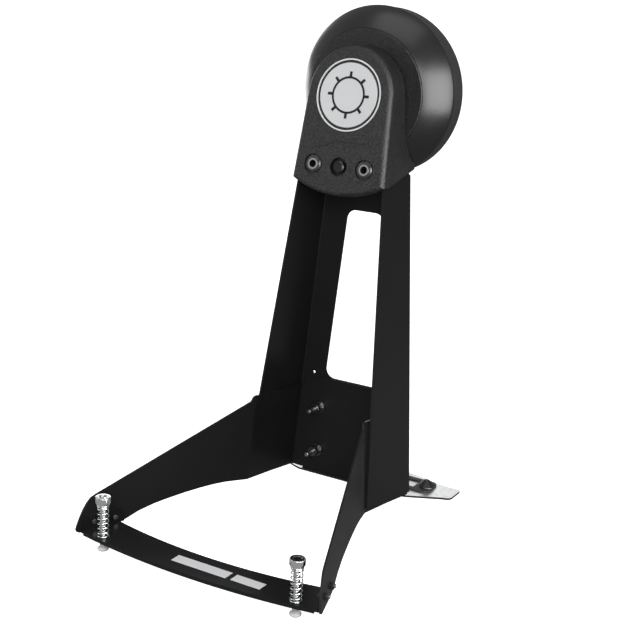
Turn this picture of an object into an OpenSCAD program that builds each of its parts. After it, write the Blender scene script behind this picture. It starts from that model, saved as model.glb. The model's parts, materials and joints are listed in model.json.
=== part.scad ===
/* [Tower] */
// Sheet thickness of the folded steel parts
steel_t = 1.6; // [1.2:0.1:3]
// Half width of the tower channel at floor level
tower_half_w = 64.4; // [50:0.1:80]
// Inward lean of each side flange, degrees
tower_taper = 4.47; // [0:0.01:8]
// Backward lean of the channel, degrees
tower_lean = 1.26; // [0:0.01:5]
// Front to back depth of the channel at floor level
tower_depth = 84.3; // [60:0.1:110]
// Depth lost per millimetre of height
depth_taper = 0.1152; // [0:0.0001:0.2]
// Top of the side flanges, hidden in the cover
flange_top = 370; // [330:1:380]
// Radius of the rear folds
fold_r = 2.4; // [1.8:0.1:4]
// Height of the window sill
window_sill = 97; // [80:1:130]
// Height of the window head
window_head = 256.5; // [220:0.5:275]
// Half width of the window at its sill
window_half_w = 31.3; // [20:0.1:40]
// Corner radius of the window
window_r = 9; // [4:0.5:14]

/* [Base bracket] */
// Height of the arms at the tower
arm_root_h = 96.3; // [70:0.1:120]
// Height of the back wall at its folds
wall_fold_h = 87.1; // [70:0.1:110]
// Distance of the arm bend from the web
bend_y = 82.4; // [75:0.1:95]
// Angle each arm opens outward, degrees
arm_splay = 18.1; // [8:0.1:30]
// Length of each arm from its bend
arm_len = 176.5; // [140:0.5:210]
// Spacing of the bracket bolts across the tower
bolt_span_x = 69.4; // [50:0.1:80]
// Height of the lower bracket bolts
bolt_low_z = 25.4; // [20:0.1:40]
// Height of the upper bracket bolts
bolt_high_z = 67.5; // [50:0.1:75]

/* [Front plate] */
// Top surface of the front plate above the floor
plate_z = 12; // [8:0.1:20]
// Foremost point of the front plate, in front of the web
plate_front_y = 257; // [230:1:280]
// Rear edge of the front plate at its middle
plate_rear_y = 224.2; // [200:0.1:240]
// Depth of the turned down front lip
lip_depth = 3.2; // [2:0.1:8]
// Distance of each spur bolt from the centre plane
spur_x = 92; // [80:0.1:105]
// Distance of the spur bolts in front of the web
spur_y = 243.5; // [230:0.1:252]

/* [Spur bolts] */
// Spur bolt shank radius
spur_r = 3; // [2:0.1:5]
// Running gap of the spur bolt in its plate
spur_gap = 0.06; // [0.02:0.01:0.1]
// Height of the spur bolt head top above the floor
spur_top = 46.7; // [38:0.1:60]
// Spur bolt head radius
spur_head_r = 6.2; // [5:0.1:8]
// Height of the spur bolt head
spur_head_h = 6.6; // [4:0.1:9]
// Spring wire radius
wire_r = 0.6; // [0.4:0.05:1]
// Mean radius of the spring coil
coil_r = 4.3; // [3.8:0.1:6]
// Number of spring turns
coil_turns = 8; // [5:1:12]

/* [Pedal plate] */
// Thickness of the pedal plate
pedal_t = 2; // [1.5:0.1:4]
// Half width of the pedal plate
pedal_half_w = 96; // [80:0.5:110]
// Rear edge of the pedal plate behind the web
pedal_rear_y = 52.5; // [40:0.5:70]

/* [Head] */
// Height of the pad centre
pad_z = 361; // [340:0.5:380]
// Largest radius of the pad
pad_r = 73.6; // [65:0.1:80]
// Radius of the round mounting plate
ring_r = 54.6; // [48:0.1:60]
// Front face of the mounting plate, in front of the web foot
ring_y = 10.6; // [6:0.1:16]
// Lean of the control face, degrees
face_tilt = 10.66; // [0:0.01:20]
// Height of the badge centre
badge_z = 361.5; // [345:0.5:375]
// Control face distance at the badge centre
face_y = 38.16; // [30:0.01:46]
// Wall of the moulded cover
cover_wall = 2.4; // [1.8:0.1:3.5]
// Radius of the badge
badge_r = 30.4; // [20:0.1:34]
// Distance of each jack from the centre plane
jack_x = 24.7; // [18:0.1:30]
// Distance of the jack row below the badge along the face
jack_drop = 60.1; // [50:0.1:66]
// Bore radius of the 6.35 mm phone jacks
jack_bore_r = 3.2; // [3.18:0.01:3.3]

/* [Hidden] */
$fn = 64;
taper_k = tan(tower_taper);
lean_k = tan(tower_lean);
splay_s = sin(arm_splay);
splay_c = cos(arm_splay);
sheet_gap = 0.05;
layer_2 = steel_t + sheet_gap;
layer_3 = 2 * layer_2;
bolt_r = 2;
bolt_out = 22.4;
hole_r = 2.2;
tab_screw_r = 1.5;
tab_hole_r = 1.6;
origin_y = 102.25;
web_foot = 7;
knob_x = 67;
knob_y = 27.6;
guide_t = 1.4;
fold_top = 295;
web_arc_r = pad_r + 1.6;
flange_foot = 17.8;
spring_base = plate_z;
washer_t = 1;
spring_top = spur_top - spur_head_h - washer_t;
foot_h = 3.4;
foot_r = 4.7;
pad_axis_y = 11.3;
bowl_arc_r = 34;
bowl_p = [ring_r + 0.3, -20.9];
bowl_d = [pad_r, 0] - bowl_p;
bowl_h = sqrt(bowl_arc_r * bowl_arc_r - bowl_d * bowl_d / 4);
bowl_c = bowl_p + bowl_d / 2 + bowl_h * [-bowl_d[1], bowl_d[0]] / norm(bowl_d);
bowl_wall = 2.5;
board_depth = 26;
cover_r = 40.3;
cover_foot_w = 44.5;
cover_foot_z = 289;
cover_arc_r = 91.8;
cover_arc_z = 369.3;

function arc_pts(cx, cy, r, a0, a1, n) =
  [for (i = [0 : n]) [cx + r * cos(a0 + (a1 - a0) * i / n), cy + r * sin(a0 + (a1 - a0) * i / n)]];
// Height in the plane of an arm for a height above the floor at distance u along it
function arm_v(z, u) = (z - lean_k * (bend_y + splay_c * u) - taper_k * splay_s * u) / cos(tower_taper);

module placed() {
  translate([0, origin_y, 0]) children();
}
module leaned() {
  rotate([-tower_lean, 0, 0]) children();
}
// Frame of the right fold line: x out of the flange, y back, z up the fold
module fold_frame() {
  leaned() translate([tower_half_w, 0, 0]) rotate([0, -tower_taper, 0]) children();
}
// Frame of the right arm: x out of the arm, -y along it, z up
module arm_frame() {
  fold_frame() translate([-layer_2, -bend_y, 0]) rotate([0, 0, arm_splay]) children();
}
module left_side() {
  mirror([1, 0, 0]) children();
}
// A sheet in the y-z plane whose outer face is at x = 0
module side_sheet(t) {
  translate([-t, 0, 0]) rotate([90, 0, 90]) linear_extrude(t) children();
}
// A sheet in the x-z plane between y = -t and y = 0
module face_sheet(t) {
  rotate([90, 0, 0]) linear_extrude(t) children();
}
module rod(p, q, r) {
  v = q - p;
  l = norm(v);
  translate(p) rotate([0, acos(v[2] / l), atan2(v[1], v[0])]) cylinder(r = r, h = l, $fn = 24);
}
// A cylinder along +y
module y_cyl(r, h) {
  rotate([-90, 0, 0]) cylinder(r = r, h = h);
}

// ---- tower channel ----
module flange_profile() {
  low_y = tower_depth - depth_taper * flange_foot;
  mid_y = tower_depth - depth_taper * 342;
  polygon([
    [-fold_r, web_foot + 0.4],
    [-low_y, flange_foot],
    [-mid_y, 342],
    [-mid_y + 8, flange_top],
    [-ring_y - 0.4 - lean_k * flange_top, flange_top],
    [-ring_y - 0.4 - lean_k * 304, 304],
    [-fold_r, fold_top]
  ]);
}
module flange_plate() {
  side_sheet(steel_t) flange_profile();
}
module rear_fold() {
  intersection() {
    translate([-fold_r, -fold_r, web_foot]) difference() {
      cylinder(r = fold_r, h = fold_top - web_foot);
      translate([0, 0, -1]) cylinder(r = fold_r - steel_t, h = flange_top);
    }
    translate([-fold_r, -fold_r, 0]) cube([fold_r + 1, fold_r + 1, 400]);
  }
}
module window_2d() {
  k = taper_k;
  wt = window_half_w - k * (window_head - window_sill);
  wb = window_half_w;
  r = window_r;
  polygon(concat(
    arc_pts(wb - r - 0.4, window_sill + r, r, -90, 0, 8),
    arc_pts(wt - r, window_head - r, r, 0, 90, 8),
    arc_pts(-wt + r, window_head - r, r, 90, 180, 8),
    arc_pts(-wb + r + 0.4, window_sill + r, r, 180, 270, 8)
  ));
}
module web_2d() {
  top = fold_top;
  wb = tower_half_w - fold_r;
  difference() {
    polygon([
      [-50, 2.2], [50, 2.2], [50, web_foot], [wb - taper_k * web_foot, web_foot],
      [wb - taper_k * top, top], [-wb + taper_k * top, top],
      [-wb + taper_k * web_foot, web_foot], [-50, web_foot]
    ]);
    window_2d();
    translate([0, pad_z]) circle(r = web_arc_r, $fn = 128);
    for (s = [-1, 1]) {
      translate([s * 43.2, 99.6]) circle(r = 1.4);
      for (z = [bolt_low_z, bolt_high_z])
        translate([s * bolt_span_x / 2, z]) circle(r = hole_r);
    }
  }
}
module mount_web() {
  w_low = tower_half_w - taper_k * 306 - 0.8;
  w_top = tower_half_w - taper_k * flange_top - 0.8;
  translate([0, -ring_y, 0]) face_sheet(steel_t) difference() {
    polygon([[-w_low, 306], [w_low, 306], [w_top, flange_top - 1], [-w_top, flange_top - 1]]);
    translate([4, pad_z]) circle(r = 5);
    for (s = [-1, 1])
      for (z = [322, 358])
        translate([s * 22, z]) circle(r = 2.2);
  }
}
module channel_half() {
  fold_frame() {
    flange_plate();
    rear_fold();
  }
}
module tower_channel() {
  color([0.03, 0.03, 0.035]) union() {
    leaned() face_sheet(steel_t) web_2d();
    channel_half();
    left_side() channel_half();
    mount_web();
    translate([-50, -1.6, pedal_t + 0.05]) cube([100, 14.6, steel_t]);
  }
}

// ---- base bracket ----
module bracket_wall_2d() {
  wf = tower_half_w - layer_2;
  difference() {
    polygon([
      [-wf + taper_k * 4.9, 4.9], [wf - taper_k * 4.9, 4.9],
      [wf - taper_k * wall_fold_h, wall_fold_h], [33, window_sill - 0.5],
      [-33, window_sill - 0.5], [-wf + taper_k * wall_fold_h, wall_fold_h]
    ]);
    for (s = [-1, 1])
      for (z = [bolt_low_z, bolt_high_z])
        translate([s * bolt_span_x / 2, z]) circle(r = hole_r);
  }
}
module arm_root_profile() {
  polygon([
    [-layer_2, 4.9], [-44, 9.8], [-bend_y, 13.6],
    [-bend_y, arm_root_h - 1.8], [-layer_2, wall_fold_h]
  ]);
}
module arm_profile() {
  l = arm_len;
  top = [[-0.7, arm_root_h], [2.5, 95], [4.5, 91.3], [l - 17.5, 41], [l - 13, 39], [l - 9.5, 35.2],
    [l - 6.5, 30], [l - 4, 24], [l - 2, 18], [l - 0.8, 13.6], [l - 1.6, 11.4], [l - 4, 10]];
  low = [[150, 9.2], [136, 9.4], [128, 10.6], [122, 12.6], [115, 14.9], [100, 17.6], [84, 19], [68, 19.9],
    [52, 20.2], [38, 20], [24, 19], [10, 17], [-0.7, 15.4]];
  polygon([for (p = concat(top, low)) [-p[0], arm_v(p[1], p[0])]]);
}
module arm_holes() {
  for (p = tab_screw_pos)
    translate([-10, -p[0], p[1]]) rotate([0, 90, 0]) cylinder(r = tab_hole_r, h = 20, $fn = 32);
}
tab_screw_pos = [for (p = [[140, 16.6], [160.5, 18]]) [p[0], arm_v(p[1], p[0])]];
module bracket_half() {
  fold_frame() translate([-layer_2, 0, 0]) side_sheet(steel_t) arm_root_profile();
  arm_frame() difference() {
    side_sheet(steel_t) arm_profile();
    arm_holes();
  }
}
module corner_relief() {
  fold_frame() translate([-layer_2, -layer_2, 0]) rotate([0, 0, 45]) translate([-0.45, -0.45, -5]) cube([0.9, 0.9, 120]);
}
module base_bracket() {
  color([0.03, 0.03, 0.035]) difference() {
    union() {
      leaned() translate([0, -layer_2, 0]) face_sheet(steel_t) bracket_wall_2d();
      bracket_half();
      left_side() bracket_half();
    }
    corner_relief();
    left_side() corner_relief();
  }
}

// ---- bracket fasteners, local frame: web rear face at y = 0 ----
module bracket_bolt_at(s, z) {
  color([0.62, 0.63, 0.65]) leaned() translate([s * bolt_span_x / 2, 0, z]) {
    translate([0, 0.05, 0]) y_cyl(5.2, 2.8);
    translate([0, -bolt_out, 0]) y_cyl(bolt_r, bolt_out + 0.2);
  }
}
module flange_nut_at(s, z) {
  color([0.25, 0.25, 0.27]) leaned() translate([s * bolt_span_x / 2, -layer_3 - 0.02, z]) rotate([90, 0, 0])
    difference() {
      union() {
        cylinder(r = 6.2, h = 1.4);
        cylinder(r = 5, h = 8.6, $fn = 6);
      }
      translate([0, 0, -1]) cylinder(r = bolt_r, h = 12);
    }
}
module bracket_bolt_lower_left() { bracket_bolt_at(-1, bolt_low_z); }
module bracket_bolt_lower_right() { bracket_bolt_at(1, bolt_low_z); }
module bracket_bolt_upper_left() { bracket_bolt_at(-1, bolt_high_z); }
module bracket_bolt_upper_right() { bracket_bolt_at(1, bolt_high_z); }
module flange_nut_lower_left() { flange_nut_at(-1, bolt_low_z); }
module flange_nut_lower_right() { flange_nut_at(1, bolt_low_z); }
module flange_nut_upper_left() { flange_nut_at(-1, bolt_high_z); }
module flange_nut_upper_right() { flange_nut_at(1, bolt_high_z); }

// ---- front plate ----
module plate_outline(front_r) {
  inner_r = 456;
  intersection() {
    difference() {
      translate([0, -plate_front_y + 626]) circle(r = front_r, $fn = 400);
      translate([0, -plate_rear_y + inner_r]) circle(r = inner_r, $fn = 400);
    }
    translate([-150, -300]) square([300, 150]);
  }
}
module between_arms(inset) {
  x0 = tower_half_w - layer_2 - taper_k * plate_z - steel_t / splay_c - inset;
  k = tan(arm_splay);
  y_bend = bend_y - lean_k * plate_z;
  polygon([
    [-x0 - k * (300 - y_bend), -300], [x0 + k * (300 - y_bend), -300],
    [x0 + k * (190 - y_bend), -190], [-x0 - k * (190 - y_bend), -190]
  ]);
}
module tab_profile() {
  polygon([
    for (p = [[130, plate_z - steel_t], [171, plate_z - steel_t], [170, 20.5], [168, 22.5], [135, 22.5], [132, 20.5]])
      [-p[0], arm_v(p[1], p[0])]
  ]);
}
module plate_tab() {
  arm_frame() difference() {
    translate([-layer_2, 0, 0]) side_sheet(steel_t) tab_profile();
    arm_holes();
  }
}
module front_plate() {
  color([0.03, 0.03, 0.035]) union() {
    difference() {
      union() {
        translate([0, 0, plate_z - steel_t]) linear_extrude(steel_t) intersection() {
          plate_outline(626);
          between_arms(0.35);
        }
        translate([0, 0, plate_z - lip_depth]) linear_extrude(lip_depth) intersection() {
          difference() {
            plate_outline(626);
            plate_outline(624.4);
          }
          between_arms(4);
        }
      }
      for (s = [-1, 1])
        translate([s * spur_x, -spur_y, 0]) cylinder(r = spur_r + spur_gap, h = 20);
    }
    plate_tab();
    left_side() plate_tab();
  }
}
module tab_screw_at(i) {
  p = tab_screw_pos[i];
  color([0.55, 0.56, 0.58]) arm_frame() translate([-layer_2 - steel_t, -p[0], p[1]]) rotate([0, 90, 0]) {
    translate([0, 0, -1.8]) cylinder(r = 2.3, h = 1.78, $fn = 32);
    translate([0, 0, -0.5]) cylinder(r = tab_screw_r, h = 7.6, $fn = 32);
  }
}
module tab_nut_at(i) {
  p = tab_screw_pos[i];
  color([0.3, 0.3, 0.32]) arm_frame() translate([0.02, -p[0], p[1]]) rotate([0, 90, 0]) difference() {
    cylinder(r = 3.2, h = 2.4, $fn = 6);
    translate([0, 0, -1]) cylinder(r = tab_screw_r, h = 5, $fn = 32);
  }
}
module tab_screw_rear_right() { tab_screw_at(0); }
module tab_screw_front_right() { tab_screw_at(1); }
module tab_screw_rear_left() { left_side() tab_screw_at(0); }
module tab_screw_front_left() { left_side() tab_screw_at(1); }
module tab_nut_rear_right() { tab_nut_at(0); }
module tab_nut_front_right() { tab_nut_at(1); }
module tab_nut_rear_left() { left_side() tab_nut_at(0); }
module tab_nut_front_left() { left_side() tab_nut_at(1); }
module label_wide() {
  color([0.82, 0.83, 0.85]) translate([-22, -245.2, plate_z]) cube([51.6, 10.4, 0.3]);
}
module label_narrow() {
  color([0.82, 0.83, 0.85]) translate([34, -245, plate_z]) cube([26.7, 9.8, 0.3]);
}

// ---- spur bolts ----
module spur_bolt(s) {
  color([0.8, 0.81, 0.83]) translate([s * spur_x, -spur_y, 0]) difference() {
    union() {
      translate([0, 0, foot_h]) cylinder(r1 = spur_r - 0.5, r2 = spur_r, h = 1.2);
      translate([0, 0, foot_h + 1.2]) cylinder(r = spur_r, h = spur_top - foot_h - 2);
      translate([0, 0, spur_top - spur_head_h]) cylinder(r1 = spur_head_r - 0.6, r2 = spur_head_r, h = 0.9);
      translate([0, 0, spur_top - spur_head_h + 0.9]) cylinder(r = spur_head_r, h = spur_head_h - 1.5);
      translate([0, 0, spur_top - 0.6]) cylinder(r1 = spur_head_r, r2 = spur_head_r - 0.6, h = 0.6);
    }
    translate([0, 0, spur_top - 3.6]) cylinder(r = 3.46, h = 5, $fn = 6);
  }
}
module spur_washer(s) {
  color([0.75, 0.76, 0.78]) translate([s * spur_x, -spur_y, spring_top]) difference() {
    cylinder(r = 5.2, h = washer_t - 0.02);
    translate([0, 0, -1]) cylinder(r = spur_r + spur_gap, h = 4);
  }
}
// One helix: rings of points swept up the coil, closed by two end caps
module coil_spring(turns, mean_r, wire, height, steps, sides) {
  n = turns * steps;
  rise = height - 2 * wire;
  pts = [for (i = [0 : n]) for (j = [0 : sides - 1])
    let (a = 360 * i / steps, b = 360 * j / sides)
      [(mean_r + wire * cos(b)) * cos(a), (mean_r + wire * cos(b)) * sin(a), wire + rise * i / n + wire * sin(b)]];
  skin = [for (i = [0 : n - 1]) for (j = [0 : sides - 1])
    let (k = (j + 1) % sides)
      [i * sides + j, (i + 1) * sides + j, (i + 1) * sides + k, i * sides + k]];
  cap_a = [[for (j = [0 : sides - 1]) j]];
  cap_b = [[for (j = [sides - 1 : -1 : 0]) n * sides + j]];
  polyhedron(points = pts, faces = concat(skin, cap_a, cap_b), convexity = 10);
}
module spur_spring(s) {
  color([0.78, 0.79, 0.8]) translate([s * spur_x, -spur_y, spring_base + 0.02])
    coil_spring(coil_turns, coil_r, wire_r, spring_top - spring_base - 0.04, 18, 8);
}
module spur_foot(s) {
  color([0.85, 0.85, 0.84]) translate([s * spur_x, -spur_y, 0]) {
    cylinder(r1 = foot_r - 0.7, r2 = foot_r, h = 1);
    translate([0, 0, 1]) cylinder(r = foot_r, h = 1.2);
    translate([0, 0, 2.2]) cylinder(r1 = foot_r, r2 = spur_r, h = foot_h - 2.22);
  }
}
module spur_bolt_left() { spur_bolt(-1); }
module spur_bolt_right() { spur_bolt(1); }
module spur_washer_left() { spur_washer(-1); }
module spur_washer_right() { spur_washer(1); }
module spur_spring_left() { spur_spring(-1); }
module spur_spring_right() { spur_spring(1); }
module spur_foot_left() { spur_foot(-1); }
module spur_foot_right() { spur_foot(1); }

// ---- pedal plate ----
module pedal_plate_2d() {
  w = pedal_half_w;
  half = concat(
    [[0, -1.6], [54, -1.6], [61, 1], [88, 15.4]],
    arc_pts(w - 6, 22.3, 6, -60, 0, 6),
    arc_pts(w - 4, 38.2, 4, 0, 90, 5),
    [[74, 42.3], [55, 48.6], [40, 51.2], [20, pedal_rear_y - 0.3], [0, pedal_rear_y]]
  );
  polygon(concat(half, [for (i = [len(half) - 2 : -1 : 1]) [-half[i][0], half[i][1]]]));
}
module pedal_plate() {
  color([0.8, 0.81, 0.82]) linear_extrude(pedal_t) difference() {
    pedal_plate_2d();
    for (s = [-1, 1])
      translate([s * knob_x, knob_y]) circle(r = 3.3);
  }
}
module pedal_guide() {
  color([0.04, 0.04, 0.04]) translate([0, 0, pedal_t]) linear_extrude(guide_t) difference() {
    polygon(concat(
      arc_pts(66, 22.3, 8, -90, 0, 8),
      arc_pts(66, 33.4, 8, 0, 90, 8),
      arc_pts(-66, 33.4, 8, 90, 180, 8),
      arc_pts(-66, 22.3, 8, 180, 270, 8)
    ));
    translate([-57, 20.3]) square([114, 15]);
    for (s = [-1, 1])
      translate([s * knob_x, knob_y]) circle(r = 3 + spur_gap);
  }
}
module knob_washer(s) {
  color([0.3, 0.3, 0.31]) translate([s * knob_x, knob_y, pedal_t + guide_t]) difference() {
    cylinder(r = 7.3, h = 0.78);
    translate([0, 0, -1]) cylinder(r = 3 + spur_gap, h = 3);
  }
}
// Six flat faces that lean in to a small flat top
module knob_body() {
  intersection() {
    cylinder(r = 12, h = 6);
    intersection_for(a = [0 : 60 : 300])
      rotate([0, 0, a]) translate([7.2, 0, 0]) rotate([0, -40.9, 0])
        translate([-40, -20, -30]) cube([40, 40, 60]);
  }
}
module pedal_knob(s) {
  color([0.04, 0.04, 0.04]) translate([s * knob_x, knob_y, 0]) {
    translate([0, 0, 0.6]) cylinder(r = 3, h = 6);
    translate([0, 0, pedal_t + guide_t + 0.8]) knob_body();
  }
}
module knob_washer_left() { knob_washer(-1); }
module knob_washer_right() { knob_washer(1); }
module pedal_knob_left() { pedal_knob(-1); }
module pedal_knob_right() { pedal_knob(1); }

// ---- head: cover ----
module face_frame() {
  translate([0, -face_y, badge_z]) rotate([90 - face_tilt, 0, 0]) children();
}
module cover_outline(inset) {
  intersection() {
    union() {
      translate([0, badge_z]) circle(r = cover_r - inset, $fn = 96);
      polygon([
        [-cover_r + inset, badge_z + 2], [cover_r - inset, badge_z + 2],
        [cover_foot_w - inset + 1.2, 268], [-cover_foot_w + inset - 1.2, 268]
      ]);
    }
    translate([0, cover_arc_z]) circle(r = cover_arc_r - inset, $fn = 180);
  }
}
module bowl_profile(grow) {
  difference() {
    union() {
      translate(bowl_c) circle(r = bowl_arc_r + grow, $fn = 160);
      translate([0, bowl_c[1] - bowl_arc_r - grow]) square([bowl_c[0], 2 * bowl_arc_r + 2 * grow]);
    }
    translate([-1, 0]) square([120, 60]);
  }
}
// Solid room taken by the bowl and the mounting plate, grown by a gap
module bowl_room(gap) {
  translate([0, pad_axis_y, pad_z]) rotate([-90, 0, 0]) {
    rotate_extrude($fn = 128) difference() {
      bowl_profile(gap);
      translate([-60, -60]) square([60, 120]);
    }
    translate([0, 0, -0.1]) cylinder(r = pad_r + gap, h = 20, $fn = 128);
  }
  translate([0, -ring_y - gap, pad_z]) y_cyl(ring_r + gap, 12);
}
module flange_slot() {
  fold_frame() translate([0.3, 0, 0]) side_sheet(steel_t + 0.6) translate([-0.5, 0]) flange_profile();
  fold_frame() translate([-2.6, -3, 200]) cube([2.9, 4.5, 150]);
}
module cover_shell() {
  difference() {
    translate([0, 6.4, 0]) rotate([90, 0, 0]) linear_extrude(70) cover_outline(0);
    face_frame() translate([-80, -120, 0]) cube([160, 200, 60]);
    intersection() {
      translate([0, 8, 0]) rotate([90, 0, 0]) linear_extrude(72) cover_outline(cover_wall);
      face_frame() translate([-80, -120, -90]) cube([160, 200, 90 - cover_wall]);
    }
    translate([-39.5, -14, 266]) cube([79, 24, 30]);
    for (x = [-52, 38.4])
      translate([x, -46.5, 287.4]) rotate([12.75, 0, 0]) translate([0, 0, -24]) cube([13.6, 70, 24]);
    bowl_room(0.25);
    flange_slot();
    left_side() flange_slot();
  }
}
module front_cover() {
  color([0.09, 0.09, 0.1]) difference() {
    union() {
      cover_shell();
      face_frame() for (x = [-jack_x, 0, jack_x])
        translate([x, -jack_drop, x == 0 ? -7.4 : -4.4]) cylinder(r = 9.6, h = x == 0 ? 6 : 3);
    }
    face_frame() {
      translate([0, 0, -0.8]) cylinder(r = badge_r + 0.1, h = 5, $fn = 96);
      for (s = [-1, 1])
        translate([s * jack_x, -jack_drop, 0]) {
          translate([0, 0, -2]) cylinder(r = 8.6, h = 6);
          translate([0, 0, -10]) cylinder(r = 4.8, h = 12);
        }
      translate([0, -jack_drop, -5]) cylinder(r = 7.9, h = 10);
      translate([0, -jack_drop, -10]) cylinder(r = 3.3, h = 12);
    }
  }
}
module badge_disc() {
  color([0.85, 0.86, 0.87]) face_frame() translate([0, 0, -0.8]) cylinder(r = badge_r - 3.4, h = 1, $fn = 96);
}
module badge_ring() {
  color([0.9, 0.9, 0.9]) face_frame() translate([0, 0, -0.8]) difference() {
    cylinder(r = badge_r, h = 1.2, $fn = 96);
    translate([0, 0, -1]) cylinder(r = badge_r - 1.25, h = 4, $fn = 96);
  }
}
module badge_emblem() {
  color([0.03, 0.03, 0.03]) face_frame() translate([0, 0, 0.2]) union() {
    difference() {
      cylinder(r = 15.6, h = 0.25, $fn = 96);
      translate([0, 0, -1]) cylinder(r = 13.8, h = 3, $fn = 96);
    }
    for (a = [0 : 45 : 315])
      rotate([0, 0, a]) translate([15, -1.2, 0]) cube([4.6, 2.4, 0.25]);
  }
}

// ---- head: jacks and level control ----
module jack(s) {
  color([0.7, 0.7, 0.72]) face_frame() translate([s * jack_x, -jack_drop, 0]) difference() {
    union() {
      translate([0, 0, -6]) cylinder(r = 4.7, h = 6.9);
      translate([-7.5, -8.5, -board_depth + 0.02]) cube([15, 17, board_depth - 4.5]);
    }
    translate([0, 0, -board_depth + 3]) cylinder(r = jack_bore_r, h = 40);
  }
}
module jack_nut(s) {
  color([0.8, 0.8, 0.82]) face_frame() translate([s * jack_x, -jack_drop, -1.98]) difference() {
    union() {
      cylinder(r = 7, h = 1.6);
      cylinder(r = 6.4, h = 2.5);
    }
    translate([0, 0, -1]) cylinder(r = 4.7, h = 6);
  }
}
module level_knob() {
  color([0.05, 0.05, 0.055]) face_frame() translate([0, -jack_drop, 0]) difference() {
    union() {
      translate([0, 0, -4.6]) cylinder(r = 5.2, h = 4.6);
      cylinder(r1 = 5.2, r2 = 4, h = 1);
      translate([0, 0, -16]) cylinder(r = 3, h = 13);
    }
    translate([-0.45, 0.6, 0.5]) cube([0.9, 6, 1]);
  }
}
module level_pot() {
  color([0.45, 0.45, 0.47]) face_frame() translate([0, -jack_drop, 0]) difference() {
    translate([-7, -7, -board_depth + 0.02]) cube([14, 14, board_depth - 7.5]);
    translate([0, 0, -17]) cylinder(r = 3.06, h = 20);
  }
}
module circuit_board() {
  color([0.08, 0.35, 0.18]) face_frame() translate([-32, -jack_drop - 9, -board_depth - 1.6]) cube([64, 24, 1.6]);
}

// ---- head: pad ----
module ring_plate() {
  color([0.1, 0.1, 0.11]) translate([0, -ring_y, pad_z]) difference() {
    y_cyl(ring_r, 3);
    translate([4, -1, 0]) y_cyl(4, 6);
    for (s = [-1, 1])
      for (z = [322, 358])
        translate([s * 22, -1, z - pad_z]) y_cyl(2.05, 6);
  }
}
module bowl_shell() {
  color([0.05, 0.05, 0.055]) translate([0, pad_axis_y, pad_z]) rotate([-90, 0, 0]) difference() {
    union() {
      rotate_extrude($fn = 128) difference() {
        bowl_profile(0);
        bowl_profile(-bowl_wall);
        translate([-1, -50]) square([ring_r + 1.3, 50 - pad_axis_y - ring_y + 3.5]);
      }
      rotate_extrude($fn = 128) translate([10, -ring_y - pad_axis_y + 3.05]) square([46, 2.4]);
      rotate_extrude($fn = 128) translate([pad_r - bowl_wall, -0.1]) square([bowl_wall - 0.05, 1.6]);
    }
    for (s = [-1, 1])
      for (z = [322, 358])
        translate([s * 22, pad_z - z, -40]) cylinder(r = 2.05, h = 40);
  }
}
module head_screw(s, z) {
  color([0.6, 0.6, 0.62]) translate([s * 22, 0, z]) {
    translate([0, -ring_y - steel_t - 2.22, 0]) y_cyl(3.6, 2.2);
    translate([0, -ring_y - steel_t - 1, 0]) y_cyl(2, 9.4);
  }
}
module head_screw_1() { head_screw(-1, 322); }
module head_screw_2() { head_screw(1, 322); }
module head_screw_3() { head_screw(-1, 358); }
module head_screw_4() { head_screw(1, 358); }
module pad_base() {
  color([0.12, 0.12, 0.13]) translate([0, 0, pad_z]) difference() {
    union() {
      translate([0, 9.8, 0]) y_cyl(pad_r - bowl_wall - 1, 3.2);
      translate([0, 12.9, 0]) y_cyl(68, 3.1);
    }
    translate([4, 5, 0]) y_cyl(4, 20);
  }
}
module isolation_ring() {
  color([0.2, 0.2, 0.21]) translate([0, 16.02, pad_z]) difference() {
    y_cyl(62, 8.96);
    translate([0, -1, 0]) y_cyl(40, 12);
  }
}
module sensor_plate() {
  color([0.65, 0.66, 0.68]) translate([0, 25, pad_z]) y_cyl(64, 1.5);
}
module piezo_disc() {
  color([0.75, 0.6, 0.25]) translate([0, 24.4, pad_z]) y_cyl(13.5, 0.58);
}
module foam_layer() {
  color([0.25, 0.25, 0.26]) translate([0, 26.52, pad_z]) y_cyl(66, 6.96);
}
module strike_head() {
  r = pad_r - 0.4;
  color([0.045, 0.045, 0.045]) translate([0, 0, pad_z]) rotate([-90, 0, 0]) rotate_extrude($fn = 128) polygon(concat(
    [[68.1, 13.3], [r, 13.3], [r - 0.6, 30]],
    arc_pts(r - 7, 31.6, 6.2, 8, 84, 7),
    [[48, 38.7], [24, 39.2], [0, 39.4], [0, 33.5], [68.1, 33.5]]
  ));
}
module sensor_lead() {
  a = [4, 24.36, pad_z];
  b = [4, -17.5, pad_z];
  c = [4, -17.5, 318];
  d = [4, -18.2, 309];
  color([0.5, 0.1, 0.1]) union() {
    rod(a, b, 0.8);
    translate(b) sphere(r = 1.05, $fn = 24);
    rod(b, c, 0.8);
    translate(c) sphere(r = 1.05, $fn = 24);
    rod(c, d, 0.8);
  }
}

placed() tower_channel();
placed() base_bracket();
placed() front_plate();
placed() pedal_plate();
placed() pedal_guide();
placed() bracket_bolt_lower_left();
placed() bracket_bolt_lower_right();
placed() bracket_bolt_upper_left();
placed() bracket_bolt_upper_right();
placed() flange_nut_lower_left();
placed() flange_nut_lower_right();
placed() flange_nut_upper_left();
placed() flange_nut_upper_right();
placed() tab_screw_rear_left();
placed() tab_screw_front_left();
placed() tab_screw_rear_right();
placed() tab_screw_front_right();
placed() tab_nut_rear_left();
placed() tab_nut_front_left();
placed() tab_nut_rear_right();
placed() tab_nut_front_right();
placed() label_wide();
placed() label_narrow();
placed() spur_bolt_left();
placed() spur_bolt_right();
placed() spur_washer_left();
placed() spur_washer_right();
placed() spur_spring_left();
placed() spur_spring_right();
placed() spur_foot_left();
placed() spur_foot_right();
placed() front_cover();
placed() badge_disc();
placed() badge_ring();
placed() badge_emblem();
placed() jack(-1);  // jack_left
placed() jack(1);  // jack_right
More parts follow.
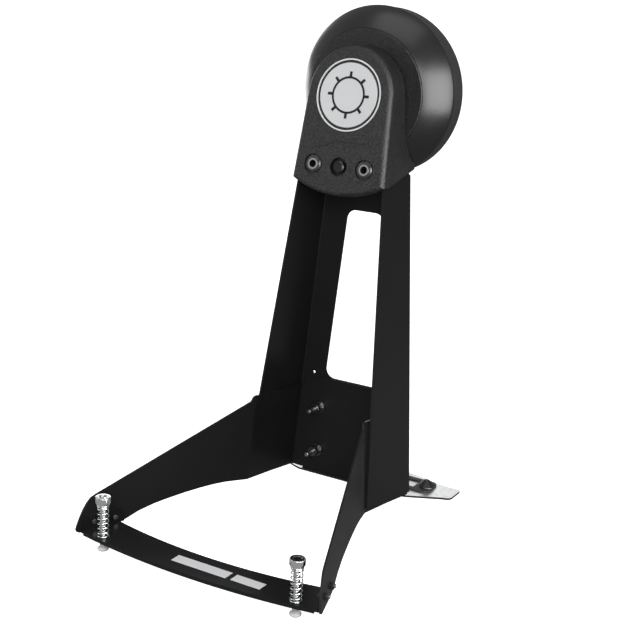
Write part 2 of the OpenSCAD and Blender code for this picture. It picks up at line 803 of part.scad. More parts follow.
placed() jack_nut(-1);  // jack_nut_left
placed() jack_nut(1);  // jack_nut_right
placed() level_knob();
placed() level_pot();
placed() circuit_board();
placed() ring_plate();
placed() bowl_shell();
placed() pad_base();
placed() isolation_ring();
placed() sensor_plate();
placed() piezo_disc();
placed() foam_layer();
placed() strike_head();
placed() sensor_lead();
placed() head_screw_1();
placed() head_screw_2();
placed() head_screw_3();
placed() head_screw_4();
placed() knob_washer_left();
placed() knob_washer_right();
placed() pedal_knob_left();
placed() pedal_knob_right();
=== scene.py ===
import json
import math

import bmesh
import bpy
from mathutils import Matrix, Vector


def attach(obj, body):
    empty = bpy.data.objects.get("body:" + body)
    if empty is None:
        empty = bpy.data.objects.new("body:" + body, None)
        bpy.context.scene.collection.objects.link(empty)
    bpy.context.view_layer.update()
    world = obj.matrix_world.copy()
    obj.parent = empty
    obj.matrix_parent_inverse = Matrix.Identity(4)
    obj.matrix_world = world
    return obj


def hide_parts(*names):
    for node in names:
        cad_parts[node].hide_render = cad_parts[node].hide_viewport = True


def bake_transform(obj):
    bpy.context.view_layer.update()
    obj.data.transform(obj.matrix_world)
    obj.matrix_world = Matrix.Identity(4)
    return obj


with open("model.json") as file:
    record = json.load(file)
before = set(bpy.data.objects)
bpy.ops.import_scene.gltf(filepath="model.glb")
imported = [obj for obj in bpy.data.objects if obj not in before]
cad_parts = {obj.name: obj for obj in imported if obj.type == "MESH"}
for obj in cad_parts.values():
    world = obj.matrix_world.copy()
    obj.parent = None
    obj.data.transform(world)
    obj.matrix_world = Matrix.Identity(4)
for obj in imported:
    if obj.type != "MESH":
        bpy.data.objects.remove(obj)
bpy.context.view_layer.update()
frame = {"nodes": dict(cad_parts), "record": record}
NODES = frame["nodes"]
OY = 102.25  # millimetres from the tower foot's rear face to the frame's origin along Y
scene = bpy.context.scene
RECORD_SLOT = {s["node"]: s["material_slot"] for s in frame["record"]["subparts"]}
BODY = {n: b for b, ns in frame["record"]["behaviour"]["bodies"].items() for n in ns}


def mm(x, y, z):
    """A point in tower coordinates, in millimetres, as metres in the row frame."""
    return Vector((x / 1000, (y + OY) / 1000, z / 1000))


# ------------------------------------------------------------------ materials
class Nodes:
    """A small helper round one material's node tree."""

    def __init__(self, name):
        self.mat = bpy.data.materials.new(name)
        self.mat.use_nodes = True
        self.t = self.mat.node_tree
        self.b = self.t.nodes["Principled BSDF"]
        self.co = self.t.nodes.new("ShaderNodeTexCoord").outputs["Object"]

    def n(self, kind):
        return self.t.nodes.new(kind)

    def link(self, a, b):
        self.t.links.new(a, b)

    def noise(self, scale, detail=4.0, rough=0.55, stretch=None, distortion=0.0):
        src = self.co
        if stretch:
            m = self.n("ShaderNodeMapping")
            m.inputs["Scale"].default_value = stretch
            self.link(src, m.inputs["Vector"])
            src = m.outputs["Vector"]
        t = self.n("ShaderNodeTexNoise")
        t.inputs["Scale"].default_value = scale
        t.inputs["Detail"].default_value = detail
        t.inputs["Roughness"].default_value = rough
        t.inputs["Distortion"].default_value = distortion
        self.link(src, t.inputs["Vector"])
        return t.outputs["Fac"]

    def voronoi(self, scale):
        t = self.n("ShaderNodeTexVoronoi")
        t.inputs["Scale"].default_value = scale
        self.link(self.co, t.inputs["Vector"])
        return t.outputs["Distance"]

    def remap(self, fac, lo, hi, a=0.3, b=0.7):
        m = self.n("ShaderNodeMapRange")
        m.inputs["From Min"].default_value = a
        m.inputs["From Max"].default_value = b
        m.inputs["To Min"].default_value = lo
        m.inputs["To Max"].default_value = hi
        self.link(fac, m.inputs["Value"])
        return m.outputs["Result"]

    def mix(self, fac, c0, c1):
        m = self.n("ShaderNodeMix")
        m.data_type = "RGBA"
        for socket, v in ((m.inputs[6], c0), (m.inputs[7], c1)):
            if hasattr(v, "links"):
                self.link(v, socket)
            else:
                socket.default_value = (*v, 1) if len(v) == 3 else v
        if hasattr(fac, "links"):
            self.link(fac, m.inputs[0])
        else:
            m.inputs[0].default_value = fac
        return m.outputs[2]

    def add(self, a, b, op="ADD"):
        m = self.n("ShaderNodeMath")
        m.operation = op
        for socket, v in ((m.inputs[0], a), (m.inputs[1], b)):
            if hasattr(v, "links"):
                self.link(v, socket)
            else:
                socket.default_value = v
        return m.outputs[0]

    def bump(self, height, strength, distance):
        m = self.n("ShaderNodeBump")
        m.inputs["Strength"].default_value = strength
        m.inputs["Distance"].default_value = distance
        self.link(height, m.inputs["Height"])
        self.link(m.outputs["Normal"], self.b.inputs["Normal"])

    def set(self, **kw):
        for k, v in kw.items():
            socket = self.b.inputs[k.replace("_", " ").title().replace("Ior", "IOR")]
            if hasattr(v, "links"):
                self.link(v, socket)
            else:
                socket.default_value = (*v, 1) if isinstance(v, tuple) and len(v) == 3 else v
        return self


def painted_steel():
    m = Nodes("painted_steel_black")
    peel = m.noise(900, 3)
    fine = m.noise(4200, 2)
    cloud = m.noise(9, 4)
    dust = m.remap(m.noise(2600, 5, 0.7), 0, 1, 0.66, 0.76)
    paint = m.mix(cloud, (0.0125, 0.0125, 0.013), (0.019, 0.019, 0.02))
    m.set(base_color=m.mix(dust, paint, (0.035, 0.035, 0.036)),
          metallic=0.0, roughness=m.add(m.remap(cloud, 0.3, 0.4), m.remap(peel, -0.02, 0.03)),
          specular_ior_level=0.16)
    m.bump(m.add(peel, m.add(fine, 0.35, "MULTIPLY")), 0.16, 0.00012)
    return m.mat


def glossy_plate():
    m = Nodes("painted_plate_gloss")
    peel = m.noise(700, 3)
    cloud = m.noise(14, 4)
    dust = m.remap(m.noise(2300, 5, 0.7), 0, 1, 0.66, 0.76)
    m.set(base_color=m.mix(dust, (0.0135, 0.0135, 0.014), (0.035, 0.035, 0.035)), metallic=0.0,
          roughness=m.remap(cloud, 0.2, 0.28), specular_ior_level=0.14)
    m.bump(peel, 0.06, 0.0001)
    return m.mat


def textured_plastic(name, dark, light, grain, strength, rough):
    m = Nodes(name)
    cells = m.voronoi(grain)
    speck = m.noise(grain * 0.75, 3, 0.7)
    cloud = m.noise(22, 3)
    h = m.add(cells, m.add(speck, 0.9, "MULTIPLY"))
    m.set(base_color=m.mix(m.remap(speck, 0, 1, 0.4, 0.64), dark, light), metallic=0.0,
          roughness=m.add(m.remap(cloud, rough - 0.03, rough + 0.03), m.remap(speck, -0.05, 0.05)))
    m.bump(h, strength, 0.0003)
    return m.mat


def satin_plastic():
    m = Nodes("bowl_satin_moulding")
    cloud = m.noise(16, 4)
    fine = m.noise(3600, 3)
    m.set(base_color=m.mix(cloud, (0.010, 0.010, 0.0105), (0.015, 0.015, 0.0155)), metallic=0.0,
          roughness=m.add(m.remap(cloud, 0.26, 0.33), m.remap(fine, -0.03, 0.03)), specular_ior_level=0.5)
    m.bump(fine, 0.05, 0.00005)
    return m.mat


def rubber(name="strike_rubber", tone=0.012, grain=2100.0, strength=0.4):
    m = Nodes(name)
    cells = m.voronoi(grain)
    cloud = m.noise(26, 5)
    speck = m.noise(5200, 3)
    m.set(base_color=m.mix(m.remap(cloud, 0, 1), (tone * 0.8,) * 3, (tone * 1.7, tone * 1.7, tone * 1.65)),
          metallic=0.0, roughness=m.remap(cloud, 0.58, 0.72))
    m.bump(m.add(cells, speck), strength, 0.00012)
    return m.mat


def metal(name, colour, rough, brush=None, tint=0.06, bump=0.05, dist=0.00004):
    m = Nodes(name)
    stretch = brush or (1, 1, 1)
    lines = m.noise(1400, 4, 0.6, stretch)
    cloud = m.noise(40, 4)
    lo = tuple(c * (1 - tint) for c in colour)
    m.set(base_color=m.mix(m.remap(lines, 0, 1), lo, colour), metallic=1.0,
          roughness=m.add(m.remap(lines, rough - 0.03, rough + 0.05), m.remap(cloud, -0.02, 0.03)))
    m.bump(lines, bump, dist)
    return m.mat


def zinc_sheet():
    m = Nodes("pedal_plate_zinc")
    lines = m.noise(700, 5, 0.65, (0.05, 1, 1))
    spangle = m.voronoi(190)
    cloud = m.noise(30, 4)
    scuff = m.remap(m.noise(160, 6, 0.75, None, 0.7), 0, 1, 0.62, 0.72)
    base = m.mix(m.remap(spangle, 0, 1, 0.1, 0.5), (0.66, 0.67, 0.68), (0.78, 0.785, 0.79))
    m.set(base_color=m.mix(m.add(scuff, 0.35, "MULTIPLY"), base, (0.5, 0.5, 0.5)), metallic=1.0,
          roughness=m.add(m.remap(cloud, 0.3, 0.42), m.remap(lines, -0.03, 0.05)))
    m.bump(m.add(lines, m.add(spangle, 0.4, "MULTIPLY")), 0.08, 0.00006)
    return m.mat


def pale_tip():
    # The spur tips get a pale, light grey finish.
    m = Nodes("spur_tip_pale")
    cloud = m.noise(180, 4)
    m.set(base_color=m.mix(cloud, (0.7, 0.7, 0.68), (0.82, 0.82, 0.8)), metallic=0.0,
          roughness=m.remap(cloud, 0.22, 0.34), coat_weight=0.3, coat_roughness=0.1)
    m.bump(m.noise(2500, 3), 0.05, 0.00005)
    return m.mat


def foil():
    m = Nodes("label_foil_silver")
    lines = m.noise(900, 4, 0.6, (0.08, 1, 1))
    cloud = m.noise(60, 4)
    m.set(base_color=m.mix(m.remap(lines, 0, 1), (0.82, 0.83, 0.85), (0.93, 0.94, 0.95)), metallic=0.15,
          roughness=m.add(m.remap(cloud, 0.3, 0.42), m.remap(lines, -0.03, 0.03)))
    m.bump(lines, 0.04, 0.00003)
    return m.mat


def badge_silver():
    m = Nodes("badge_silver_disc")
    grain = m.noise(1800, 4, 0.6)
    cloud = m.noise(35, 3)
    m.set(base_color=m.mix(m.remap(grain, 0, 1), (0.66, 0.67, 0.68), (0.76, 0.77, 0.78)), metallic=0.25,
          roughness=m.add(m.remap(cloud, 0.34, 0.42), m.remap(grain, -0.03, 0.03)))
    m.bump(grain, 0.06, 0.00004)
    return m.mat


def gloss(name, dark, light, rough=0.2, grain=2400.0):
    m = Nodes(name)
    fine = m.noise(grain, 3)
    cloud = m.noise(60, 4)
    m.set(base_color=m.mix(cloud, dark, light), metallic=0.0,
          roughness=m.add(m.remap(cloud, rough - 0.03, rough + 0.04), m.remap(fine, -0.02, 0.02)))
    m.bump(fine, 0.05, 0.00004)
    return m.mat


def foam():
    m = Nodes("open_cell_foam")
    cells = m.voronoi(1500)
    cloud = m.noise(90, 4)
    m.set(base_color=m.mix(cloud, (0.05, 0.05, 0.052), (0.09, 0.09, 0.092)),
          roughness=m.remap(cloud, 0.85, 0.95))
    m.bump(cells, 0.7, 0.0004)
    return m.mat


def board():
    m = Nodes("solder_mask_green")
    traces = m.n("ShaderNodeTexBrick")
    traces.inputs["Scale"].default_value = 260
    traces.inputs["Color1"].default_value = (0.01, 0.11, 0.05, 1)
    traces.inputs["Color2"].default_value = (0.012, 0.13, 0.06, 1)
    traces.inputs["Mortar"].default_value = (0.03, 0.2, 0.09, 1)
    traces.inputs["Mortar Size"].default_value = 0.05
    m.link(m.co, traces.inputs["Vector"])
    cloud = m.noise(80, 3)
    m.set(base_color=traces.outputs["Color"], roughness=m.remap(cloud, 0.28, 0.36))
    m.bump(traces.outputs["Fac"], 0.15, 0.00005)
    return m.mat


MATS = {
    "painted_steel": painted_steel(),
    "front_plate": glossy_plate(),
    "zinc_plate": zinc_sheet(),
    "strike": rubber(),
    "guide": rubber("guide_rubber", 0.014, 2600, 0.25),
    "black_moulding": gloss("black_moulding", (0.008, 0.008, 0.008), (0.013, 0.013, 0.013), 0.3),
    "cover_plastic": textured_plastic("cover_grain", (0.003, 0.0031, 0.0034), (0.026, 0.0262, 0.027),
                                      850, 1.0, 0.42),
    "ring_plate": textured_plastic("ring_grain", (0.003, 0.003, 0.0033), (0.015, 0.015, 0.0157),
                                   950, 0.8, 0.42),
    "bowl_plastic": satin_plastic(),
    "inner_plastic": textured_plastic("inner_grain", (0.03, 0.03, 0.03), (0.045, 0.045, 0.045),
                                      1800, 0.3, 0.55),
    "chrome_steel": metal("bright_plated_steel", (0.86, 0.865, 0.875), 0.12, None, 0.04, 0.03),
    "foot_plastic": pale_tip(),
    "zinc_fastener": metal("zinc_plated_steel", (0.62, 0.63, 0.64), 0.3, None, 0.1, 0.08),
    # This dark finish is real on the tab screws and is also the painted shade in the right spur's socket.
    "dark_fastener": metal("dark_plated_steel_and_socket_shade", (0.2, 0.2, 0.205), 0.28, None, 0.15, 0.08),
    "black_fastener": gloss("black_plated_fastener", (0.02, 0.02, 0.021), (0.035, 0.035, 0.036), 0.24),
    "label_foil": foil(),
    "badge_disc": badge_silver(),
    "white_ring": gloss("ring_white", (0.72, 0.72, 0.72), (0.8, 0.8, 0.8), 0.26),
    "emblem_black": gloss("emblem_print", (0.006, 0.006, 0.006), (0.011, 0.011, 0.011), 0.3),
    "jack_body": gloss("socket_black", (0.012, 0.012, 0.012), (0.02, 0.02, 0.02), 0.3),
    "circuit_green": board(),
    "soft_foam": foam(),
    "sensor_steel": metal("sensor_sheet_steel", (0.6, 0.61, 0.62), 0.32, (0.1, 1, 1)),
    "sensor_brass": metal("sensor_brass", (0.72, 0.55, 0.26), 0.25),
    "lead_red": gloss("lead_insulation", (0.35, 0.02, 0.015), (0.45, 0.035, 0.03), 0.3),
}
MATS["jack_nut"] = metal("socket_nut_dark", (0.15, 0.15, 0.155), 0.26, None, 0.12, 0.08)
SIDES = (("left", -1), ("right", 1))
# Nodes whose finish differs from the one their record slot names
SPECIAL = {"jack_nut_left": "jack_nut", "jack_nut_right": "jack_nut", "front_plate": "front_plate",
           "strike_head": "strike", "pedal_guide": "guide", "ring_plate": "ring_plate",
           "badge_disc": "badge_disc"}
for place in ("front_left", "front_right", "rear_left", "rear_right"):
    SPECIAL["tab_nut_" + place] = "black_fastener"
    SPECIAL["tab_screw_" + place] = "dark_fastener"


def material_for(node):
    return MATS[SPECIAL.get(node, RECORD_SLOT[node])]


for name, o in NODES.items():
    for s in range(max(1, len(o.material_slots))):
        if o.material_slots:
            o.material_slots[s].material = material_for(name)
        else:
            o.data.materials.append(material_for(name))


# ------------------------------------------------------------------ mesh tools
def new_object(name, verts, faces, material, body, smooth=True, angle=35):
    me = bpy.data.meshes.new(name)
    me.from_pydata([tuple(v) for v in verts], [], faces)
    me.validate()
    o = bpy.data.objects.new(name, me)
    scene.collection.objects.link(o)
    me.materials.append(material)
    if smooth:
        me.shade_smooth()
        if angle:
            sharp_by_angle(me, angle)
    if body:
        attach(o, body)
    return o


def sharp_by_angle(me, angle):
    bm = bmesh.new()
    bm.from_mesh(me)
    bmesh.ops.recalc_face_normals(bm, faces=bm.faces)
    lim = math.radians(angle)
    for e in bm.edges:
        e.smooth = len(e.link_faces) == 2 and e.calc_face_angle(0) < lim
    for f in bm.faces:
        f.smooth = True
    bm.to_mesh(me)
    bm.free()


SHARP = math.radians(30)  # edges that turn by more than this are rounded
SMOOTH = math.radians(50)  # edges that turn by less than this are shaded smooth


def softened(node, width, segments=2, wide=None):
    """A copy of a CAD node's mesh with its sharp edges rounded, standing for that node.

    wide(edge_middle) may give a larger width for one edge, or 0.
    """
    src = NODES[node]
    bm = bmesh.new()
    bm.from_mesh(src.data)
    bmesh.ops.remove_doubles(bm, verts=bm.verts, dist=2e-6)
    bmesh.ops.dissolve_limit(bm, angle_limit=math.radians(0.4), verts=bm.verts, edges=bm.edges)
    bmesh.ops.recalc_face_normals(bm, faces=bm.faces)

    def sharp():
        return [e for e in bm.edges if len(e.link_faces) == 2 and e.calc_face_angle(0) > SHARP]

    if wide:
        picked = {}
        for e in sharp():
            w = wide((e.verts[0].co + e.verts[1].co) / 2)
            if w:
                picked.setdefault(w, []).append(e)
        for w, edges in sorted(picked.items(), reverse=True):
            bmesh.ops.bevel(bm, geom=edges, offset=w, offset_type="OFFSET", segments=6, profile=0.5,
                            affect="EDGES", clamp_overlap=False)
    edges = sharp()
    if edges and width:
        bmesh.ops.bevel(bm, geom=edges, offset=width, offset_type="OFFSET", segments=segments, profile=0.5,
                        affect="EDGES", clamp_overlap=True)
    for e in bm.edges:
        e.smooth = len(e.link_faces) == 2 and e.calc_face_angle(0) < SMOOTH
    for f in bm.faces:
        f.smooth = True
    me = bpy.data.meshes.new(node + "_finish")
    bm.to_mesh(me)
    bm.free()
    o = bpy.data.objects.new(node + "_finish", me)
    scene.collection.objects.link(o)
    me.materials.append(material_for(node))
    wn = o.modifiers.new("normals", "WEIGHTED_NORMAL")
    wn.keep_sharp = True
    wn.weight = 60
    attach(o, BODY[node])
    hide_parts(node)
    return o


def revolve(name, profile, at, axis, material, body, n=160):
    """Turns (radius, along) points in millimetres about axis through at."""
    w = Vector(axis).normalized()
    u = w.orthogonal().normalized()
    v = w.cross(u)
    verts, faces = [], []
    rings = []
    for r, h in profile:
        if r < 1e-6:
            verts.append(at + w * (h / 1000))
            rings.append([len(verts) - 1])
        else:
            ring = []
            for i in range(n):
                a = 2 * math.pi * i / n
                verts.append(at + (u * math.cos(a) + v * math.sin(a)) * (r / 1000) + w * (h / 1000))
                ring.append(len(verts) - 1)
            rings.append(ring)
    for a, b in zip(rings, rings[1:]):
        for i in range(n):
            j = (i + 1) % n
            if len(a) == 1 and len(b) == 1:
                continue
            if len(a) == 1:
                faces.append((a[0], b[i], b[j]))
            elif len(b) == 1:
                faces.append((a[i], b[0], a[j]))
            else:
                faces.append((a[i], b[i], b[j], a[j]))
    return new_object(name, verts, faces, material, body, angle=40)


def fillet(points, radii, n):
    """Rounds the corners of an open profile that radii names, with n steps each."""
    out = [points[0]]
    for p, q, s in zip(points, points[1:], points[2:]):
        a = Vector(p) - Vector(q)
        b = Vector(s) - Vector(q)
        r = min(radii.get(q, 0), a.length * 0.45, b.length * 0.45)
        if r <= 0:
            out.append(q)
            continue
        p0 = Vector(q) + a.normalized() * r
        p1 = Vector(q) + b.normalized() * r
        for i in range(n + 1):
            t = i / n
            out.append(tuple((1 - t) ** 2 * p0 + 2 * t * (1 - t) * Vector(q) + t * t * p1))
    out.append(points[-1])
    return out


# ------------------------------------------------------------------ folded steel
softened("tower_channel", 0.00042, 3)
softened("base_bracket", 0.00042, 3)
softened("front_plate", 0.0004, 3)
plate_finish = softened("pedal_plate", 0.00035, 2)
plate_finish.data.materials.append(MATS["black_fastener"])
for face in plate_finish.data.polygons:
    if abs(face.normal.z) < 0.8:  # the plate's side faces take the black finish
        face.material_index = 1
softened("pedal_guide", 0.0006, 3)
for n in ("label_wide", "label_narrow"):
    softened(n, 0.0001, 2)
for n in NODES:
    if n.startswith(("bracket_bolt", "tab_screw", "head_screw")):
        softened(n, 0.0005, 3)
    elif n.startswith(("flange_nut", "tab_nut", "knob_washer", "spur_washer")):
        softened(n, 0.0003, 3)
    elif n.startswith("jack_nut"):
        softened(n, 0.0004, 3)

# ------------------------------------------------------------------ control cover
FACE_TILT = math.radians(10.66)
FACE_N = Vector((0, -math.cos(FACE_TILT), math.sin(FACE_TILT)))
FACE_UP = Vector((0, math.sin(FACE_TILT), math.cos(FACE_TILT)))
BADGE_Z = 361.5
FACE_AT = mm(0, -38.16, BADGE_Z)
RIM_ROUND = 0.0042  # metres, the soft front edge of the cover
BADGE_CLEAR = 34  # edges nearer than this to the badge centre belong to its recess
SOCKET_X = 24.7
SOCKET_DROP = 60.1


def face_point(x, up, out):
    """A point on the tilted control face: across, up the face and out of it, in millimetres."""
    return FACE_AT + Vector((x, 0, 0)) / 1000 + FACE_UP * (up / 1000) + FACE_N * (out / 1000)


def cover_edge(mid):
    """The rounding of the cover's outer front edge; its recesses keep the small one."""
    if abs((mid - FACE_AT).dot(FACE_N)) > 0.0002:
        return 0
    x, up = mid.x * 1000, (mid - FACE_AT).dot(FACE_UP) * 1000
    in_badge = math.hypot(x, up) < BADGE_CLEAR
    in_sockets = abs(x) < 35 and -70.5 < up < -49
    return 0 if in_badge or in_sockets else RIM_ROUND


softened("front_cover", 0.0004, 3, wide=cover_edge)


def face_line(points, width):
    """A thin printed line on the control face."""
    verts, faces = [], []
    for i, p in enumerate(points):
        a = Vector(points[max(0, i - 1)])
        b = Vector(points[min(len(points) - 1, i + 1)])
        d = (b - a).normalized()
        q = Vector((-d.y, d.x)) * (width / 2)
        for sgn in (1, -1):
            verts.append(face_point(p[0] + sgn * q.x, p[1] + sgn * q.y, 0.03))
    for i in range(len(points) - 1):
        faces.append((2 * i, 2 * i + 1, 2 * i + 3, 2 * i + 2))
    line = new_object("face_line", verts, faces, MATS["emblem_black"], "stand", smooth=False)


def up_of(z):
    return (z - BADGE_Z) / math.cos(FACE_TILT)


face_line([(-26.8, up_of(316)), (-15.4, up_of(318.8)), (-6.3, up_of(323)), (23.5, up_of(322.9)),
           (28, up_of(329.9))], 1.0)

# ------------------------------------------------------------------ round head
HEAD = mm(0, 0, 361)
YAX = Vector((0, 1, 0))


def arc(cx, cy, r, a0, a1, n):
    angles = [math.radians(a0 + (a1 - a0) * i / n) for i in range(n + 1)]
    return [(cx + r * math.cos(a), cy + r * math.sin(a)) for a in angles]


# Profiles are (radius, distance along +Y from the head's centre)
rubber_skirt = [(68.1, 33.4), (68.1, 13.3)] + arc(71.9, 14.0, 0.7, -90, 0, 4) + [(72.2, 22.0), (71.9, 30.0)]
rubber_dome = arc(65.6, 31.4, 6.3, 6, 84, 14) + [(60, 38.2), (48, 38.75), (24, 39.2), (0, 39.4)]
rubber_profile = rubber_skirt + rubber_dome
strike = revolve("strike_head_finish", rubber_profile, HEAD, YAX, MATS["strike"], "stand", 192)
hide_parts("strike_head")

BOWL_START, BOWL_RIM, BOWL_ARC = Vector((54.9, -9.6)), Vector((73.6, 11.3)), 62.0
half = (BOWL_RIM - BOWL_START) / 2
reach = math.sqrt(BOWL_ARC * BOWL_ARC - half.length_squared)
BOWL_MID = BOWL_START + half + Vector((-half.y, half.x)).normalized() * reach
turn = [math.degrees(math.atan2(q.y - BOWL_MID.y, q.x - BOWL_MID.x)) for q in (BOWL_START, BOWL_RIM)]
bowl_side = arc(BOWL_MID.x, BOWL_MID.y, BOWL_ARC, turn[0], turn[1], 28)
bowl_lip = [(73.6, 12.2)] + arc(73.1, 12.3, 0.5, 0, 90, 3) + [(70.5, 12.8)]
bowl = [(10, -7.5), (54.9, -7.5), (54.9, -9.2)] + bowl_side + bowl_lip
shell = revolve("bowl_shell_finish", bowl, HEAD, YAX, MATS["bowl_plastic"], "stand", 192)
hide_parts("bowl_shell")

ring = [(4.2, -10.6), (53.6, -10.6)] + arc(53.6, -9.6, 1.0, -90, 0, 5) + [(54.6, -7.6)]
plate = revolve("ring_plate_finish", ring, HEAD, YAX, MATS["ring_plate"], "stand", 160)
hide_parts("ring_plate")

# ------------------------------------------------------------------ spur bolts

SPUR_X, SPUR_Y, SPUR_TOP = 92.0, -243.5, 46.7


def spur(side, s):
    x, y = s * SPUR_X, SPUR_Y
    at, up_axis = mm(x, y, 0), (0, 0, 1)
    body = "spur_turn_" + side
    chrome = MATS["chrome_steel"]
    top = SPUR_TOP
    outline = fillet([(0, 3.4), (2.0, 3.4), (2.65, 4.6), (2.65, 41.0)], {(2.65, 4.6): 0.5}, 3)
    shank = revolve("spur_shank_" + side, outline, at, up_axis, chrome, body, 48)
    base = top - 6.6
    collar, shoulder, crown, lip = (5.0, base + 1.2), (6.15, base + 1.5), (6.2, top - 0.2), (5.6, top)
    head = fillet([(2.6, base), (4.9, base), collar, shoulder, crown, lip, (3.9, top)],
                  {collar: 0.2, shoulder: 0.3, crown: 0.5, lip: 0.3}, 5)
    cap = revolve("spur_head_" + side, head, at, up_axis, chrome, body, 64)
    # The right spur's socket is lined with the dark finish as painted shade in its recess; the left socket
    # keeps chrome.
    lining = MATS["dark_fastener"] if s > 0 else chrome
    hexa = hex_socket("spur_socket_" + side, x, y, top, lining, body)
    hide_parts("spur_bolt_" + side)
    tip = fillet([(0, 0.0), (3.9, 0.0), (4.7, 0.9), (4.7, 2.1), (3.1, 3.38), (2.2, 3.38)],
                 {(3.9, 0.0): 0.4, (4.7, 0.9): 0.5, (4.7, 2.1): 0.6}, 5)
    foot = revolve("spur_tip_" + side, tip, at, up_axis, MATS["foot_plastic"], body, 64)
    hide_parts("spur_foot_" + side)
    spring(side, x, y)


def hex_socket(name, x, y, top, material, body):
    """A six-sided recess with a round mouth: rows of (radius, height, six-sided or not)."""
    verts, faces = [], []
    rows = [(3.9, top, False), (3.5, top - 0.5, True), (3.46, top - 3.5, True), (0.0, top - 4.2, True)]
    around = 48
    for r, z, six_sided in rows:
        for k in range(around):
            a = 2 * math.pi * k / around
            rr = r
            if six_sided:
                rr = r * math.cos(math.pi / 6) / math.cos((a % (math.pi / 3)) - math.pi / 6)
            verts.append(mm(x + rr * math.cos(a), y + rr * math.sin(a), z))
    for i in range(len(rows) - 1):
        for k in range(around):
            k2 = (k + 1) % around
            faces.append((i * around + k, (i + 1) * around + k, (i + 1) * around + k2, i * around + k2))
    return new_object(name, verts, faces, material, body, angle=30)


def spring(side, x, y):
    r, wire, zb, zt = 4.45, 0.5, 12.02, 39.08
    lead = 1.0
    turns = 8.0
    steps = 44
    total = int(turns * steps)
    verts, faces = [], []
    m = 12
    for i in range(total + 1):
        t = i / steps
        if t < lead:
            z = wire + 2 * wire * t * 0.55
        elif t > turns - lead:
            z = (zt - zb) - wire - 2 * wire * (turns - t) * 0.55
        else:
            u = (t - lead) / (turns - 2 * lead)
            z = wire * 2.1 + ((zt - zb) - wire * 4.2) * u
        a = 2 * math.pi * t + (0.6 if side == "left" else 2.1)
        c = Vector((math.cos(a), math.sin(a), 0))
        for k in range(m):
            b = 2 * math.pi * k / m
            p = c * (r + wire * math.cos(b))
            verts.append(mm(x + p.x, y + p.y, zb + z + wire * math.sin(b)))
    for i in range(total):
        for k in range(m):
            k2 = (k + 1) % m
            faces.append((i * m + k, (i + 1) * m + k, (i + 1) * m + k2, i * m + k2))
    faces.append(tuple(range(m)))
    faces.append(tuple(total * m + k for k in range(m - 1, -1, -1)))
    o = new_object("spring_" + side, verts, faces, MATS["chrome_steel"], None, angle=60)
    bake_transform(o)
    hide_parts("spur_spring_" + side)
    return o


for side, s in SIDES:
    spur(side, s)

# ------------------------------------------------------------------ knobs
for side, s in SIDES:
    softened("pedal_knob_" + side, 0.0006, 4)
softened("level_knob", 0.0007, 4)
softened("badge_disc", 0.0002, 2)
softened("badge_ring", 0.0002, 2)
softened("badge_emblem", 0.00008, 2)

for side, s in SIDES:
    lining = revolve("socket_lining_" + side, [(3.12, 0.3), (3.12, -17.5), (2.2, -17.8), (0, -17.8)],
                     face_point(s * SOCKET_X, -SOCKET_DROP, 0), FACE_N, MATS["jack_body"], "stand", 48)

# ------------------------------------------------------------------ camera
AZ, EL, ROLL = (math.radians(v) for v in (30.699, 15.645, 2.505))
right = Vector((math.cos(AZ), math.sin(AZ), 0))
back = Vector((math.sin(AZ) * math.cos(EL), -math.cos(AZ) * math.cos(EL), math.sin(EL)))
up = back.cross(right)
r2 = right * math.cos(ROLL) + up * math.sin(ROLL)
u2 = up * math.cos(ROLL) - right * math.sin(ROLL)
cam = bpy.data.objects.new("camera", bpy.data.cameras.new("camera"))
scene.collection.objects.link(cam)
cam.matrix_world = Matrix(((r2.x, u2.x, back.x, 0.5216), (r2.y, u2.y, back.y, -0.972 + OY / 1000),
                           (r2.z, u2.z, back.z, 0.4664), (0, 0, 0, 1)))
cam.data.sensor_width = 36
cam.data.lens = 73.55
cam.data.shift_x = 0.00838
cam.data.shift_y = 0.01241
cam.data.dof.use_dof = False
cam.data.clip_start = 0.05
cam.data.clip_end = 30
scene.camera = cam

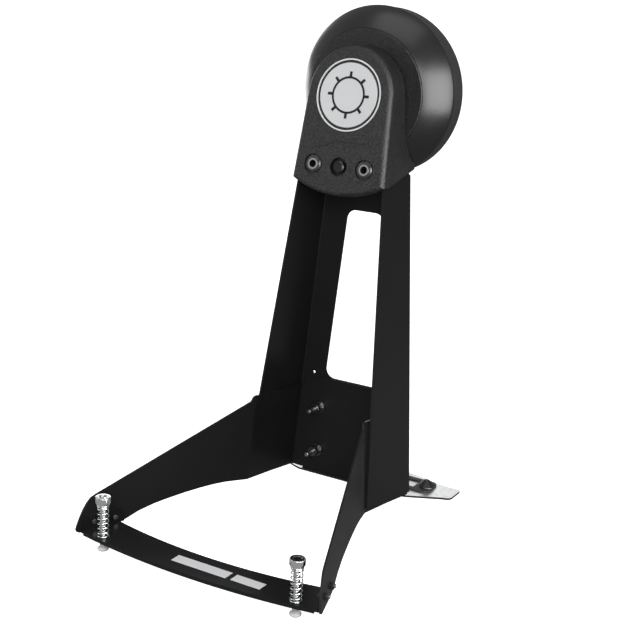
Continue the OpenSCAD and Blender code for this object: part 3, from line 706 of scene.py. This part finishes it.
# ------------------------------------------------------------------ floor and light
me = bpy.data.meshes.new("floor")
HALF, DROP = 30, -0.0002  # metres: the floor's half width, and a hair below the feet
corners = [(-HALF, -HALF, DROP), (HALF, -HALF, DROP), (HALF, HALF, DROP), (-HALF, HALF, DROP)]
me.from_pydata(corners, [], [(0, 1, 2, 3)])
floor = bpy.data.objects.new("floor", me)
scene.collection.objects.link(floor)
fm = Nodes("floor_white")
grain = fm.noise(60, 3)
fm.set(base_color=fm.mix(grain, (0.93, 0.93, 0.93), (0.95, 0.95, 0.95)), roughness=0.9,
       emission_color=(1.0, 1.0, 1.0), emission_strength=1.0)
dim = fm.n("ShaderNodeBsdfDiffuse")
dim.inputs["Color"].default_value = (0.38, 0.38, 0.38, 1)
seen = fm.n("ShaderNodeLightPath")
blend = fm.n("ShaderNodeMixShader")
fm.link(seen.outputs["Is Camera Ray"], blend.inputs[0])
fm.link(dim.outputs[0], blend.inputs[1])
fm.link(fm.b.outputs[0], blend.inputs[2])
fm.link(blend.outputs[0], fm.t.nodes["Material Output"].inputs["Surface"])
me.materials.append(fm.mat)

world = bpy.data.worlds.new("studio")
scene.world = world
world.use_nodes = True
wt = world.node_tree
bg = wt.nodes["Background"]
bg.inputs["Color"].default_value = (1, 1, 1, 1)
lp = wt.nodes.new("ShaderNodeLightPath")
mx = wt.nodes.new("ShaderNodeMapRange")
mx.inputs["To Min"].default_value = 0.3
mx.inputs["To Max"].default_value = 1.4
wt.links.new(lp.outputs["Is Camera Ray"], mx.inputs["Value"])
wt.links.new(mx.outputs["Result"], bg.inputs["Strength"])


def softbox(name, at, to, w, h, power):
    l = bpy.data.lights.new(name, "AREA")
    l.shape = "RECTANGLE"
    l.size, l.size_y, l.energy = w, h, power
    o = bpy.data.objects.new(name, l)
    scene.collection.objects.link(o)
    o.location = at
    o.rotation_mode = "QUATERNION"
    o.rotation_quaternion = (Vector(to) - Vector(at)).to_track_quat("-Z", "Y")
    return o


# The low lights are seen only as reflections, so they show on glossy parts without flooding the flanges
softbox("low_right", (1.0, -0.22, 0.42), (0.05, 0.1, 0.36), 0.9, 0.85, 21).visible_diffuse = False
softbox("low_behind", (-0.75, 1.5, 0.45), (0.05, 0.15, 0), 1.3, 0.7, 3.6).visible_diffuse = False
softbox("low_left", (-0.95, 0.82, 0.2), (0, 0.1, 0.36), 0.9, 0.4, 4).visible_diffuse = False
softbox("fill_left", (-1.3, -0.7, 0.7), (0, 0, 0.2), 0.9, 1.2, 5)
softbox("front", (0.75, -1.35, 0.75), (0, 0.05, 0.2), 0.8, 0.8, 16)
softbox("top", (0.0, -0.3, 1.9), (0, 0, 0), 1.4, 1.2, 6.5)

scene.view_settings.view_transform = "Standard"
scene.view_settings.look = "None"
scene.view_settings.exposure = 0.0
scene.view_settings.gamma = 1.0
